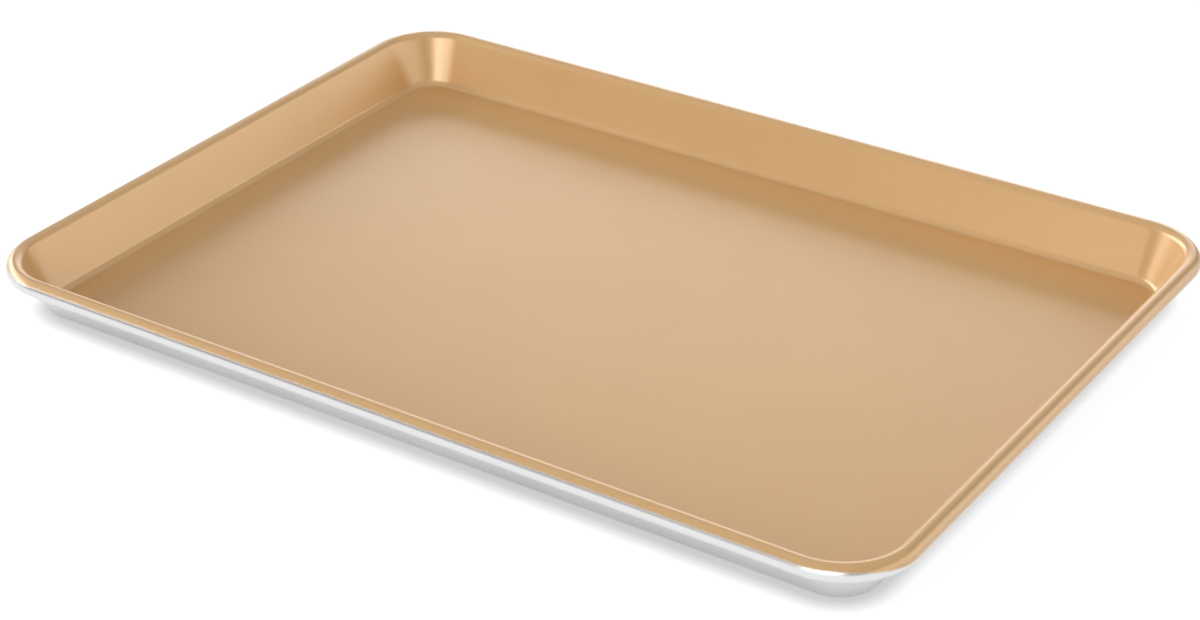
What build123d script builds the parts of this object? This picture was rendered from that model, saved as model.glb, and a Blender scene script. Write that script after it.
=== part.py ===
from build123d import *
import os
from math import acos, cos, degrees, radians, sin, tan

os.makedirs("parts", exist_ok=True)

# Half sheet baking pan: one sheet of aluminium pressed into a shallow tray with leaning walls, its
# edge rolled outwards round a steel wire. Millimetres and degrees. +X runs along the long sides and
# +Z is up. The origin is the middle of the underside, where the pan rests on the table.

# Size over all
pan_length = 454.0
pan_width = 327.0
pan_height = 25.5
corner_radius = 34.0  # in plan, round the outside of the rolled rim

# Pressed sheet
sheet = 1.0
floor_bend = 4.0  # inside radius where the floor turns up into the walls
wall_lean = 24.0  # how far the walls lean outwards from upright

# Wire loop and the sheet rolled round it
wire_diameter = 5.8
wire_clearance = 0.1  # between the wire and the sheet, all round
wire_end_gap = 1.5  # between the two butted ends of the loop
curl_gap = 1.0  # between the roll's free edge and the back of the wall

# Rolled rim's centre line, which is also the wire's
rim_radius = wire_diameter / 2 + wire_clearance + sheet
rim_length = pan_length - 2 * rim_radius
rim_width = pan_width - 2 * rim_radius
rim_corner = corner_radius - rim_radius
rim_height = pan_height - rim_radius

# Section across the rim, with the rim's centre as its origin, x outwards and y up. The wall's inner
# face runs from the rim, which it touches at its tangent, down to a foot that the bend rounds off.
wall_turn = 90 - wall_lean
wall_top_out = -rim_radius * cos(radians(wall_lean))
wall_top_up = rim_radius * sin(radians(wall_lean))
floor_up = sheet - rim_height
wall_foot_out = wall_top_out - (wall_top_up - floor_up) * tan(radians(wall_lean))
floor_edge_out = wall_foot_out - floor_bend * tan(radians(wall_turn / 2))

# Turn of the roll, from the top of the wall over the rim to the free edge under it
roll_start = 180 - wall_lean
roll_turn = 360 - degrees(acos((rim_radius - sheet - curl_gap) / rim_radius))

# Flat floor inside the bends
floor_length = rim_length + 2 * floor_edge_out
floor_width = rim_width + 2 * floor_edge_out
floor_corner = rim_corner + floor_edge_out

# Outline that the rim follows, and the plane across it in the middle of the back long side
with BuildSketch(Plane.XY.offset(rim_height)) as rim_plan:
    RectangleRounded(rim_length, rim_width, rim_corner)
rim_path = rim_plan.face().outer_wire()
section_plane = Plane(origin=(0, rim_width / 2, rim_height), x_dir=(0, 1, 0), z_dir=(1, 0, 0))

# Pan: the sheet's section of bend, wall and roll, drawn along its inside face and swept round the
# rim's outline, then the floor between the bends
with BuildPart() as pan_body:
    with BuildSketch(section_plane):
        with BuildLine():
            bend = CenterArc((floor_edge_out, floor_up + floor_bend), floor_bend, -90, wall_turn)
            roll = CenterArc((0, 0), rim_radius, roll_start, -roll_turn)
            Line(bend @ 1, roll @ 0)
            offset(amount=sheet, side=Side.RIGHT)
        make_face()
    sweep(path=rim_path)
    with BuildSketch():
        RectangleRounded(floor_length, floor_width, floor_corner)
    extrude(amount=sheet)
pan_body.part.label = "pan_body"
export_step(pan_body.part, "parts/pan_body.step")

# Wire: a rod bent to the rim's outline, its ends butted at the middle of the back long side
with BuildPart() as rim_wire:
    with BuildSketch(section_plane):
        Circle(wire_diameter / 2)
    sweep(path=rim_path)
    with BuildSketch(section_plane):
        Circle(rim_radius)
    extrude(amount=wire_end_gap / 2, both=True, mode=Mode.SUBTRACT)
rim_wire.part.label = "rim_wire"
export_step(rim_wire.part, "parts/rim_wire.step")
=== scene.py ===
from math import acos, cos, pi, radians, sin, tan

import bpy
from mathutils import Matrix, Vector


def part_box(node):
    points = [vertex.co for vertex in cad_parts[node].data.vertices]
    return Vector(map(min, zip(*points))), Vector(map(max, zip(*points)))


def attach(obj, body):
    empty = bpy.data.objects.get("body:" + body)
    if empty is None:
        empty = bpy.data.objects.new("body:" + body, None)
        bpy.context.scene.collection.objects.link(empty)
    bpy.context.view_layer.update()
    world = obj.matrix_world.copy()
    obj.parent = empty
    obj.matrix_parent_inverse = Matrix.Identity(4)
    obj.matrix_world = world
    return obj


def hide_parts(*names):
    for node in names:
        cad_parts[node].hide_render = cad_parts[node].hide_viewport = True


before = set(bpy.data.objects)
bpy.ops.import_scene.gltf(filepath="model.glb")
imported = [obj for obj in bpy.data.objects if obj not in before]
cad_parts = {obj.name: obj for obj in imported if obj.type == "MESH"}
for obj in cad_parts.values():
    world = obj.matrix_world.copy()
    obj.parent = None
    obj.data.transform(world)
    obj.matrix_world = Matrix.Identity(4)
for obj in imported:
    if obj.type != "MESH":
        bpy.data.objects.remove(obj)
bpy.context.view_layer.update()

# Half sheet baking pan, gold nonstick inside and bare aluminium outside. Metres. The camera and all
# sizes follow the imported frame: +X runs along the long sides, +Z is up, and the pan stands on z = 0.

# What the frame gives: the rim's centre line runs through the middle of the wire
pan_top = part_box("pan_body")[1].z
wire_low, wire_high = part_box("rim_wire")
WIRE_RADIUS = (wire_high.z - wire_low.z) / 2
RIM_HEIGHT = (wire_high.z + wire_low.z) / 2
RIM_RADIUS = pan_top - RIM_HEIGHT
RIM_HALF_LENGTH = wire_high.x - WIRE_RADIUS
RIM_HALF_WIDTH = wire_high.y - WIRE_RADIUS

# Sizes that the frame's boxes don't give
SHEET = 0.001
FLOOR_BEND = 0.004  # inside radius where the floor turns up into the walls
WALL_LEAN = radians(24)  # outwards from upright
CORNER_RADIUS = 0.034  # in plan, round the outside of the rolled rim
CURL_GAP = 0.001  # between the roll's free edge and the back of the wall
WIRE_END_GAP = 0.0015
COATING = 0.00005

# Where the coating ends on the outside of the rim: an angle from the rim's middle height, and how
# much sooner it ends along the sheet on the front side. That strip of bare metal narrows to nothing
# round the front corners, between two places along +Y.
COATING_EDGE = radians(-22)
FRONT_BARE = 0.0031
FRONT_CORNER = (-0.158, -0.136)

# Section across the rim, from the rim's centre: out from the pan and up
RIM_CORNER = CORNER_RADIUS - RIM_RADIUS
FLOOR_UP = SHEET - RIM_HEIGHT
WALL_TURN = pi / 2 - WALL_LEAN
WALL_TOP_OUT = -RIM_RADIUS * cos(WALL_LEAN)
WALL_TOP_UP = RIM_RADIUS * sin(WALL_LEAN)
WALL_FOOT_OUT = WALL_TOP_OUT - (WALL_TOP_UP - FLOOR_UP) * tan(WALL_LEAN)
FLOOR_EDGE_OUT = WALL_FOOT_OUT - FLOOR_BEND * tan(WALL_TURN / 2)
ROLL_START = pi - WALL_LEAN
ROLL_TURN = 2 * pi - acos((RIM_RADIUS - SHEET - CURL_GAP) / RIM_RADIUS)
COATED_TURN = ROLL_START - COATING_EDGE

# Fineness of the meshes
CORNER_STEPS = 24
LONG_STEPS = 24
SHORT_STEPS = 18
BEND_STEPS = 10
WALL_STEPS = 4
ROLL_STEP = radians(6)
WIRE_SIDES = 32
SHARP_ANGLE = radians(40)


def arc(centre, radius, first, turn, steps):
    """Points on an arc of the section, both ends included."""
    angles = [first + turn * step / steps for step in range(steps + 1)]
    return [(centre[0] + radius * cos(a), centre[1] + radius * sin(a)) for a in angles]


def sheet_line(depth, roll_turn):
    """The section's line at a depth under the sheet's inside face: bend, wall and roll."""
    bend_centre = (FLOOR_EDGE_OUT, FLOOR_UP + FLOOR_BEND)
    bend = arc(bend_centre, FLOOR_BEND + depth, -pi / 2, WALL_TURN, BEND_STEPS)
    roll_steps = round(roll_turn / ROLL_STEP)
    roll = arc((0, 0), RIM_RADIUS - depth, ROLL_START, -roll_turn, roll_steps)
    foot, top = bend[-1], roll[0]
    wall = []
    for step in range(1, WALL_STEPS):
        share = step / WALL_STEPS
        wall.append((foot[0] + (top[0] - foot[0]) * share, foot[1] + (top[1] - foot[1]) * share))
    return bend + wall + roll


def line(first, last, steps):
    """Evenly spaced points on a straight stretch, without its last point."""
    shares = [step / steps for step in range(steps)]
    return [(first[0] + (last[0] - first[0]) * t, first[1] + (last[1] - first[1]) * t) for t in shares]


def outline(out, gap=0.0):
    """Plan points of the rim's centre line moved outwards, anticlockwise from the back's middle.

    A gap opens the line there, and its two ends are then both in the list.
    """
    x = RIM_HALF_LENGTH - RIM_CORNER
    y = RIM_HALF_WIDTH - RIM_CORNER
    radius = RIM_CORNER + out
    reach_x, reach_y = x + radius, y + radius
    points = line((-gap / 2, reach_y), (-x, reach_y), LONG_STEPS // 2)
    points += arc((-x, y), radius, pi / 2, pi / 2, CORNER_STEPS)[:-1]
    points += line((-reach_x, y), (-reach_x, -y), SHORT_STEPS)
    points += arc((-x, -y), radius, pi, pi / 2, CORNER_STEPS)[:-1]
    points += line((-x, -reach_y), (x, -reach_y), LONG_STEPS)
    points += arc((x, -y), radius, 3 * pi / 2, pi / 2, CORNER_STEPS)[:-1]
    points += line((reach_x, -y), (reach_x, y), SHORT_STEPS)
    points += arc((x, y), radius, 0, pi / 2, CORNER_STEPS)[:-1]
    points += line((x, reach_y), (gap / 2, reach_y), LONG_STEPS // 2)
    if gap:
        points.append((gap / 2, reach_y))
    return points


def grid_border(rows):
    """The edge of a floor's grid in an outline's order, with each corner repeated along its arc."""
    back, front = rows[0], rows[-1]
    half = LONG_STEPS // 2
    border = back[half:-1]
    border += [back[-1]] * CORNER_STEPS
    border += [row[-1] for row in rows[:-1]]
    border += [front[-1]] * CORNER_STEPS
    border += front[:0:-1]
    border += [front[0]] * CORNER_STEPS
    border += [row[0] for row in rows[:0:-1]]
    border += [back[0]] * CORNER_STEPS
    border += back[:half]
    return border


class MeshDraft:
    """Vertices, faces and one number for each vertex, collected for a new mesh."""

    def __init__(self):
        self.vertices = []
        self.faces = []
        self.to_edge = []

    def ring(self, out, up, to_edge=0.0, gap=0.0):
        """Adds the vertices of one outline and returns their numbers."""
        first = len(self.vertices)
        plan = outline(out, gap)
        self.vertices += [(x, y, RIM_HEIGHT + up) for x, y in plan]
        self.to_edge += [to_edge] * len(plan)
        return list(range(first, len(self.vertices)))

    def strip(self, ring_a, ring_b, closed=True):
        """Adds the faces between two rings."""
        count = len(ring_a)
        for i in range(count if closed else count - 1):
            j = (i + 1) % count
            self.faces.append((ring_a[i], ring_a[j], ring_b[j], ring_b[i]))

    def grid(self, up, to_edge):
        """Adds the vertices of a grid between the corners' centres and returns its rows."""
        x = RIM_HALF_LENGTH - RIM_CORNER
        y = RIM_HALF_WIDTH - RIM_CORNER
        rows = []
        for row in range(SHORT_STEPS + 1):
            first = len(self.vertices)
            across = y * (1 - 2 * row / SHORT_STEPS)
            for column in range(LONG_STEPS + 1):
                along = x * (1 - 2 * column / LONG_STEPS)
                self.vertices.append((along, across, RIM_HEIGHT + up))
                self.to_edge.append(to_edge)
            rows.append(list(range(first, len(self.vertices))))
        return rows

    def floor(self, edge, up, face_up):
        """Fills the floor inside a ring: a grid, a border and a fan in each corner."""
        rows = self.grid(up, self.to_edge[edge[0]])
        faces = []
        for near_row, far_row in zip(rows, rows[1:]):
            for near, far in zip(near_row[:-1], far_row):
                faces.append((near, near + 1, far + 1, far))
        border = grid_border(rows)
        for i, (inner, outer) in enumerate(zip(border, edge)):
            j = (i + 1) % len(edge)
            corner = [inner, outer, edge[j]]
            faces.append(tuple(corner if border[j] == inner else corner + [border[j]]))
        self.faces += faces if face_up else [tuple(reversed(face)) for face in faces]

    def build(self, name, material):
        """Makes the object, smooth but for its sharp edges."""
        mesh = bpy.data.meshes.new(name)
        mesh.from_pydata(self.vertices, [], self.faces)
        mesh.validate()
        mesh.polygons.foreach_set("use_smooth", [True] * len(mesh.polygons))
        mesh.set_sharp_from_angle(angle=SHARP_ANGLE)
        values = mesh.attributes.new("to_edge", "FLOAT", "POINT")
        values.data.foreach_set("value", self.to_edge)
        mesh.materials.append(material)
        mesh.update()
        piece = bpy.data.objects.new(name, mesh)
        bpy.context.scene.collection.objects.link(piece)
        weighted = piece.modifiers.new("even_normals", "WEIGHTED_NORMAL")
        weighted.keep_sharp = True
        return piece


def distances_to_end(points):
    """How far each point of a line is from its last point, along it."""
    distances = [0.0]
    for (x0, y0), (x1, y1) in zip(points[-2::-1], points[:0:-1]):
        distances.append(distances[-1] + ((x1 - x0) ** 2 + (y1 - y0) ** 2) ** 0.5)
    return distances[::-1]


def make_shell(name, front, back, roll_turn, material):
    """A closed layer of the sheet between two depths under its inside face."""
    draft = MeshDraft()
    front_line = sheet_line(front, roll_turn)
    back_line = sheet_line(back, roll_turn)
    from_edge = distances_to_end(front_line)
    front_rings = [draft.ring(*point, to_edge=d) for point, d in zip(front_line, from_edge)]
    back_rings = [draft.ring(*point, to_edge=d) for point, d in zip(back_line, from_edge)]
    for rings in (front_rings, back_rings[::-1]):
        for ring_a, ring_b in zip(rings, rings[1:]):
            draft.strip(ring_b, ring_a)
    draft.strip(back_rings[-1], front_rings[-1])
    draft.floor(front_rings[0], front_line[0][1], face_up=True)
    draft.floor(back_rings[0], back_line[0][1], face_up=False)
    return draft.build(name, material)


def make_wire(name, material):
    """The wire loop: one rod round the rim, with its two ends closed."""
    draft = MeshDraft()
    section = arc((0, 0), WIRE_RADIUS, 0, 2 * pi, WIRE_SIDES)[:-1]
    rings = [draft.ring(*point, gap=WIRE_END_GAP) for point in section]
    for ring_a, ring_b in zip(rings, rings[1:] + rings[:1]):
        draft.strip(ring_a, ring_b, closed=False)
    draft.faces.append(tuple(ring[0] for ring in rings))
    draft.faces.append(tuple(ring[-1] for ring in reversed(rings)))
    return draft.build(name, material)


def add_node(tree, kind, sockets=(), **settings):
    """A node with its settings; a socket gets a value, or a link from another node's socket."""
    made = tree.nodes.new(kind)
    for name, value in settings.items():
        setattr(made, name, value)
    for name, value in dict(sockets).items():
        socket = made.inputs[name]
        if isinstance(value, bpy.types.NodeSocket):
            tree.links.new(value, socket)
        else:
            socket.default_value = value
    return made


def new_material(name):
    """An empty material and its node tree."""
    material = bpy.data.materials.new(name)
    material.use_nodes = True
    material.node_tree.nodes.clear()
    return material, material.node_tree


def math_node(tree, operation, first, second=0.0):
    """One step of arithmetic with two values."""
    sockets = {0: first, 1: second}
    return add_node(tree, "ShaderNodeMath", sockets, operation=operation).outputs["Value"]


def ranged(tree, value, low, high, to_low, to_high):
    """A value mapped from one range to another and held inside it."""
    sockets = {"Value": value, "From Min": low, "From Max": high, "To Min": to_low, "To Max": to_high}
    return add_node(tree, "ShaderNodeMapRange", sockets).outputs["Result"]


def noise(tree, place, scale, detail, stretch=(1, 1, 1)):
    """Noise over the object's own coordinates, with the scale in waves a metre."""
    mapped = add_node(tree, "ShaderNodeMapping", {"Vector": place, "Scale": stretch})
    sockets = {"Vector": mapped.outputs["Vector"], "Scale": scale, "Detail": detail}
    return add_node(tree, "ShaderNodeTexNoise", sockets).outputs["Fac"]


# Most of a noise lies between these values
NOISE_RANGE = (0.3, 0.7)


def spread(tree, value, first, last):
    """A noise stretched over a range, without its rare low and high values."""
    return ranged(tree, value, *NOISE_RANGE, first, last)


def relief(tree, height, strength, depth):
    """A fine relief for a surface."""
    sockets = {"Height": height, "Strength": strength, "Distance": depth}
    return add_node(tree, "ShaderNodeBump", sockets).outputs["Normal"]


def principled(tree, sockets):
    """A principled shader as the material's surface."""
    shader = add_node(tree, "ShaderNodeBsdfPrincipled", sockets).outputs["BSDF"]
    add_node(tree, "ShaderNodeOutputMaterial", {"Surface": shader})


def mixed_colour(tree, share, first, second):
    """Two colours mixed by a share."""
    made = add_node(tree, "ShaderNodeMix", data_type="RGBA")
    tree.links.new(share, made.inputs["Factor"])
    for socket, colour in ((made.inputs[6], first), (made.inputs[7], second)):
        if isinstance(colour, bpy.types.NodeSocket):
            tree.links.new(colour, socket)
        else:
            socket.default_value = (*colour, 1)
    return made.outputs[2]


# Gold nonstick. Scales are in waves a metre.
GOLD = (0.65, 0.38, 0.145)
GOLD_PALE = (0.67, 0.40, 0.155)
GOLD_METALLIC = 0.4
GOLD_CLOUDS = 14
GOLD_ROUGHNESS = (0.4, 0.44)
SATIN_CLOUDS = 40
CLEAR_ROUGHNESS = 0.28
CLEAR_IOR = 1.7
GRAIN_OF_SPRAY = 1400
SPRAY_STRENGTH = 0.05
SPRAY_DEPTH = 0.00005

# The coating's edge: how far in it starts and is full, how far it strays, and the metal past it
EDGE_FADE = (0.0002, 0.0014)
EDGE_STRAY = 0.00015
EDGE_SCALE = 600
EDGE_METAL_ROUGHNESS = 0.3

# Bare aluminium, with its rolling grain stretched along the pan
ALUMINIUM = (0.79, 0.79, 0.79)
ALUMINIUM_DULL = (0.74, 0.74, 0.74)
ALUMINIUM_CLOUDS = 18
ALUMINIUM_ROUGHNESS = (0.26, 0.36)
ROLLING_GRAIN = (30, 2200, 30)
ROLLING_STRENGTH = 0.15
ROLLING_DEPTH = 0.00003

# Galvanised wire
ZINC = (0.42, 0.43, 0.44)
ZINC_ROUGHNESS = (0.35, 0.5)
SPANGLE_SCALE = 500


def coating_cover(tree, place):
    """How much of the metal the coating covers: all of it but for a ragged edge on the rim."""
    edge = add_node(tree, "ShaderNodeAttribute", attribute_name="to_edge").outputs["Fac"]
    across = add_node(tree, "ShaderNodeSeparateXYZ", {0: place}).outputs["Y"]
    bare = ranged(tree, across, *FRONT_CORNER, FRONT_BARE, 0)
    stray = spread(tree, noise(tree, place, EDGE_SCALE, detail=3), -EDGE_STRAY, EDGE_STRAY)
    sprayed = math_node(tree, "SUBTRACT", math_node(tree, "ADD", edge, stray), bare)
    return ranged(tree, sprayed, *EDGE_FADE, 0, 1)


def gold_material():
    """Satin gold nonstick: pearly paint under a clear skin, thinning out to bare metal at its edge."""
    material, tree = new_material("gold_coating")
    place = add_node(tree, "ShaderNodeTexCoord").outputs["Object"]
    clouds = spread(tree, noise(tree, place, GOLD_CLOUDS, detail=4), 0, 1)
    gold = mixed_colour(tree, clouds, GOLD, GOLD_PALE)
    satin = spread(tree, noise(tree, place, SATIN_CLOUDS, detail=3), *GOLD_ROUGHNESS)
    pebbles = noise(tree, place, GRAIN_OF_SPRAY, detail=2)
    cover = coating_cover(tree, place)
    principled(
        tree,
        {
            "Base Color": mixed_colour(tree, cover, ALUMINIUM, gold),
            "Metallic": ranged(tree, cover, 0, 1, 1, GOLD_METALLIC),
            "Roughness": ranged(tree, cover, 0, 1, EDGE_METAL_ROUGHNESS, satin),
            "Normal": relief(tree, pebbles, SPRAY_STRENGTH, SPRAY_DEPTH),
            "Coat Weight": cover,
            "Coat Roughness": CLEAR_ROUGHNESS,
            "Coat IOR": CLEAR_IOR,
        },
    )
    return material


def aluminium_material():
    """Bare aluminium sheet: fine rolling grain along the pan, slightly uneven sheen."""
    material, tree = new_material("aluminium_sheet")
    place = add_node(tree, "ShaderNodeTexCoord").outputs["Object"]
    grain = noise(tree, place, 1, detail=3, stretch=ROLLING_GRAIN)
    clouds = spread(tree, noise(tree, place, ALUMINIUM_CLOUDS, detail=4), 0, 1)
    principled(
        tree,
        {
            "Base Color": mixed_colour(tree, clouds, ALUMINIUM, ALUMINIUM_DULL),
            "Metallic": 1,
            "Roughness": spread(tree, grain, *ALUMINIUM_ROUGHNESS),
            "Normal": relief(tree, grain, ROLLING_STRENGTH, ROLLING_DEPTH),
        },
    )
    return material


def wire_material():
    """Galvanised steel wire: dull zinc with a faint spangle."""
    material, tree = new_material("zinc_wire")
    place = add_node(tree, "ShaderNodeTexCoord").outputs["Object"]
    cells = {"Vector": place, "Scale": SPANGLE_SCALE}
    spangle = add_node(tree, "ShaderNodeTexVoronoi", cells).outputs["Color"]
    tone = add_node(tree, "ShaderNodeRGBToBW", {"Color": spangle}).outputs["Val"]
    principled(
        tree,
        {
            "Base Color": mixed_colour(tree, tone, ZINC, ALUMINIUM_DULL),
            "Metallic": 1,
            "Roughness": ranged(tree, tone, 0, 1, *ZINC_ROUGHNESS),
        },
    )
    return material


# Tabletop: its grey takes the pan's shadow, and a lift that only the camera and mirroring surfaces
# see makes it white. Both also carry a painted shadow, darkening where the pan is close above, so
# that the pan stands on the table.
FLOOR_SIZE = 8.0
FLOOR_TONE = 0.3
FLOOR_LIFT = 0.8
# Painted shadow: how far its ambient occlusion reaches, the darkest tone it paints, and the occlusion
# range it fades over
PAINTED_SHADOW_REACH = 0.011
PAINTED_SHADOW_TONE = 0.62
PAINTED_SHADOW_FADE = (0.4, 0.85)


def stage_floor():
    """White tabletop that shows white to the camera, keeps the pan's shadow and has a painted shadow
    where the pan is close above.
    """
    material, tree = new_material("studio_white")
    # Ambient occlusion paints a shadow into the floor's grey and into its lift where the pan is close
    # above
    near = add_node(tree, "ShaderNodeAmbientOcclusion", {"Distance": PAINTED_SHADOW_REACH}).outputs["AO"]
    painted_shadow = ranged(tree, near, *PAINTED_SHADOW_FADE, PAINTED_SHADOW_TONE, 1)
    white = math_node(tree, "MULTIPLY", painted_shadow, FLOOR_TONE)
    diffuse = add_node(tree, "ShaderNodeBsdfDiffuse", {"Color": white})
    path = add_node(tree, "ShaderNodeLightPath").outputs
    seen = math_node(tree, "MAXIMUM", path["Is Camera Ray"], path["Is Glossy Ray"])
    seen = math_node(tree, "MAXIMUM", seen, path["Is Transmission Ray"])
    strength = math_node(tree, "MULTIPLY", math_node(tree, "MULTIPLY", seen, painted_shadow), FLOOR_LIFT)
    lift = add_node(tree, "ShaderNodeEmission", {"Strength": strength})
    layers = {0: diffuse.outputs["BSDF"], 1: lift.outputs["Emission"]}
    total = add_node(tree, "ShaderNodeAddShader", layers).outputs["Shader"]
    add_node(tree, "ShaderNodeOutputMaterial", {"Surface": total})
    half = FLOOR_SIZE / 2
    mesh = bpy.data.meshes.new("studio_floor")
    corners = [(-half, -half, 0), (half, -half, 0), (half, half, 0), (-half, half, 0)]
    mesh.from_pydata(corners, [], [(0, 1, 2, 3)])
    mesh.materials.append(material)
    floor = bpy.data.objects.new("studio_floor", mesh)
    bpy.context.scene.collection.objects.link(floor)


# Surroundings: plain soft light, brighter overhead, and soft boxes that the metal mirrors. The light
# rises between two heights of the direction on a unit sphere, and the camera sees plain white.
HORIZON_LIGHT = 0.28
ZENITH_LIGHT = 0.9
LIGHT_RISE = (0.5, 0.85)
BACKDROP_LIGHT = 1.25

# Soft boxes in degrees, with azimuth 0 in front of the pan and 90 on its right. BOX_EDGE is the width
# over which they fade out.
SOFT_BOXES = (
    # azimuth, elevation, half width, half height, strength
    (-85, 22, 32, 9, 6.4),
    (-156, 16, 18, 12, 2.2),
    (6, 19, 21, 13, 3.5),
    (20, 24, 6, 12, 4.0),
    (112, 16, 46, 15, 1.6),
)
BOX_EDGE = 5


def towards(azimuth, elevation):
    """The direction to an azimuth and elevation."""
    a, e = radians(azimuth), radians(elevation)
    return (sin(a) * cos(e), -cos(a) * cos(e), sin(e))


def facing(tree, direction, axis):
    """How far a direction points along an axis."""
    sockets = {0: direction, 1: axis}
    return add_node(tree, "ShaderNodeVectorMath", sockets, operation="DOT_PRODUCT").outputs["Value"]


def soft_box(tree, direction, azimuth, elevation, half_width, half_height, strength):
    """The light of a rectangular soft box round one direction, fading out at its edges."""
    light = strength
    sides = (
        (towards(azimuth + 90, 0), half_width),
        (towards(azimuth, elevation + 90), half_height),
    )
    for axis, half in sides:
        offset = math_node(tree, "ABSOLUTE", facing(tree, direction, axis))
        edge, core = sin(radians(half + BOX_EDGE / 2)), sin(radians(half - BOX_EDGE / 2))
        light = math_node(tree, "MULTIPLY", ranged(tree, offset, edge, core, 0, 1), light)
    ahead = math_node(tree, "GREATER_THAN", facing(tree, direction, towards(azimuth, elevation)))
    return math_node(tree, "MULTIPLY", light, ahead)


def studio_world():
    """Soft surroundings that the metal mirrors, plain white where the camera sees them."""
    world = bpy.data.worlds.new("studio")
    bpy.context.scene.world = world
    world.use_nodes = True
    tree = world.node_tree
    tree.nodes.clear()
    direction = add_node(tree, "ShaderNodeTexCoord").outputs["Generated"]
    height = add_node(tree, "ShaderNodeSeparateXYZ", {0: direction}).outputs["Z"]
    light = ranged(tree, height, *LIGHT_RISE, HORIZON_LIGHT, ZENITH_LIGHT)
    for box in SOFT_BOXES:
        light = math_node(tree, "ADD", light, soft_box(tree, direction, *box))
    seen = add_node(tree, "ShaderNodeLightPath").outputs["Is Camera Ray"]
    backdrop = math_node(tree, "MULTIPLY", seen, BACKDROP_LIGHT)
    shown = math_node(tree, "MAXIMUM", light, backdrop)
    background = add_node(tree, "ShaderNodeBackground", {"Strength": shown})
    add_node(tree, "ShaderNodeOutputWorld", {"Surface": background.outputs["Background"]})


# Camera, fitted to the photograph's 1200 x 620 frame. Angles in degrees, the sensor in millimetres.
IMAGE_WIDTH = 1200
FOCAL_PIXELS = 2712.4
SENSOR = 36.0
CAMERA_AZIMUTH = 33.81
CAMERA_ELEVATION = 29.36
CAMERA_ROLL = -0.32
CAMERA_DISTANCE = 1.21306
CAMERA_TARGET = (0.00431, -0.00963, 0.001)


def photo_camera():
    """The photograph's viewpoint."""
    data = bpy.data.cameras.new("camera")
    data.sensor_width = SENSOR
    data.lens = FOCAL_PIXELS / IMAGE_WIDTH * SENSOR
    camera = bpy.data.objects.new("camera", data)
    bpy.context.scene.collection.objects.link(camera)
    bpy.context.scene.camera = camera
    back = Vector(towards(CAMERA_AZIMUTH, CAMERA_ELEVATION))
    a = radians(CAMERA_AZIMUTH)
    level = Vector((cos(a), sin(a), 0))
    upright = back.cross(level)
    roll = radians(CAMERA_ROLL)
    right = level * cos(roll) + upright * sin(roll)
    top = upright * cos(roll) - level * sin(roll)
    axes = Matrix((right, top, back)).transposed()
    place = Matrix.Translation(Vector(CAMERA_TARGET) + back * CAMERA_DISTANCE)
    camera.matrix_world = place @ axes.to_4x4()


pan = make_shell("pan_sheet", 0.0, SHEET, ROLL_TURN, aluminium_material())
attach(pan, "root")
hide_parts("pan_body")

coating = make_shell("nonstick_coating", -COATING, 0.0, COATED_TURN, gold_material())
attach(coating, "root")

wire = make_wire("wire_loop", wire_material())
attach(wire, "root")
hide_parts("rim_wire")

stage_floor()
studio_world()
photo_camera()
bpy.context.scene.view_settings.view_transform = "Standard"
